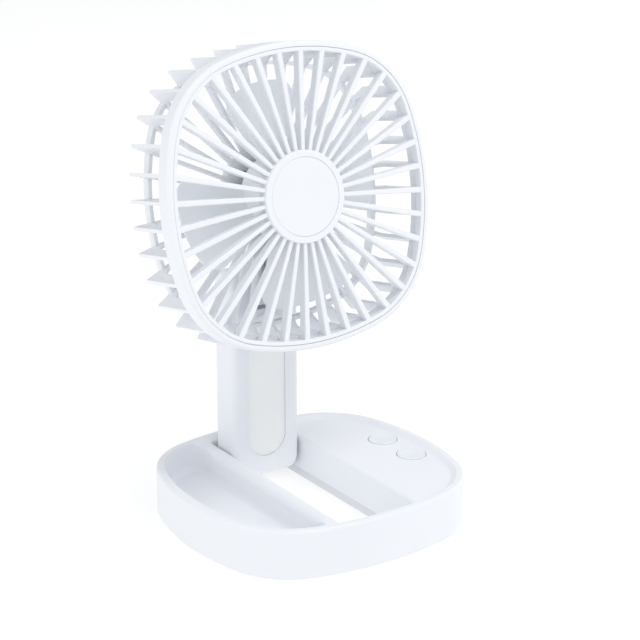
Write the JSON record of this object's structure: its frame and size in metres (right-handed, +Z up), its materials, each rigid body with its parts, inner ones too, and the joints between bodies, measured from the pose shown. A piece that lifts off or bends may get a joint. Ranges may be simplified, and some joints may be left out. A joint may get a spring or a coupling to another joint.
{
  "type": "folding desk fan",
  "caption": "Folding desk and hand fan with a rounded square caged head, a flat post with a light strip, and a wide base with a tray, a fold slot and press buttons.",
  "frame": {"origin": "on the floor under the middle of the base", "axes": "+Z up, -Y the way the fan blows at rest (its front), +X to the right of someone facing the fan's front"},
  "size_m": [0.124, 0.1154, 0.1983],
  "materials": {
    "shell_white": "satin moulded",
    "cage_white": "satin moulded",
    "rotor_white": "satin moulded",
    "button_white": "fine matte",
    "lens_milky": "milky, diffusing",
    "cover_white": "fine matte",
    "foot_rubber": "soft matte",
    "screw_steel": "zinc plated",
    "pin_steel": "ground",
    "washer_nylon": "natural nylon",
    "board_green": "lacquered board",
    "switch_black": "moulded",
    "cell_foil": "pouch foil",
    "port_steel": "drawn shell",
    "chip_white": "ceramic and phosphor",
    "bush_bronze": "sintered",
    "core_steel": "laminated",
    "coil_copper": "enamelled wire",
    "magnet_grey": "sintered magnet"
  },
  "bodies": {
    "base": {"base_shell": "shell_white", "base_bottom_cover": "cover_white", "base_screws": "screw_steel", "rubber_feet": "foot_rubber", "main_circuit_board": "board_green", "board_screws": "screw_steel", "tact_switches": "switch_black", "battery_pack": "cell_foil", "charging_port": "port_steel", "base_hinge_pin": "pin_steel", "base_hinge_clip": "screw_steel", "base_hinge_washers": "washer_nylon"},
    "power_key": {"power_button": "button_white"},
    "light_key": {"light_button": "button_white"},
    "post": {"post_housing": "shell_white", "post_rear_cover": "cover_white", "post_screws": "screw_steel", "light_lens": "lens_milky", "light_board": "board_green", "light_chips": "chip_white", "post_hinge_sleeve": "washer_nylon", "hinge_caps": "shell_white"},
    "hinge_pin": {"head_hinge_pin": "pin_steel", "head_hinge_nut": "screw_steel", "head_hinge_washers": "washer_nylon"},
    "head": {"front_grille": "cage_white", "hub_cap": "cage_white", "rear_cage": "cage_white", "rear_cage_ribs": "cage_white", "head_bracket": "cage_white", "bracket_screws": "screw_steel", "motor_bushing": "bush_bronze", "motor_board": "board_green", "stator_core": "core_steel", "stator_coils": "coil_copper"},
    "rotor": {"fan_rotor": "rotor_white", "rotor_bell": "core_steel", "magnet_ring": "magnet_grey", "motor_shaft": "pin_steel", "motor_shaft_clip": "screw_steel"}
  },
  "joints": [
    {"name": "post_fold", "type": "hinge", "parent": "base", "child": "post", "pos_m": [0, 0.04125, 0.0122], "axis": [1, 0, 0], "range_deg": [0, 90]},
    {"name": "head_flip", "type": "hinge", "parent": "post", "child": "hinge_pin", "pos_m": [0, 0.04125, 0.0918], "axis": [1, 0, 0], "range_deg": [-170, 0]},
    {"name": "head_tilt", "type": "hinge", "parent": "hinge_pin", "child": "head", "pos_m": [0, 0.04125, 0.0918], "axis": [1, 0, 0], "range_deg": [0, 10]},
    {"name": "rotor_spin", "type": "hinge", "parent": "head", "child": "rotor", "pos_m": [0, 0.003, 0.1375], "axis": [0, -0.9848, 0.1736], "continuous": true},
    {"name": "power_press", "type": "slide", "parent": "base", "child": "power_key", "axis": [0, 0, -1], "range_m": [0, 0.0006], "stiffness_N_per_m": 1500, "springref_m": -0.0005},
    {"name": "light_press", "type": "slide", "parent": "base", "child": "light_key", "axis": [0, 0, -1], "range_m": [0, 0.0006], "stiffness_N_per_m": 1500, "springref_m": -0.0005}
  ],
  "couplings": [
    {"joint": "head_flip", "follows": "post_fold", "ratio": -1.8889}
  ]
}
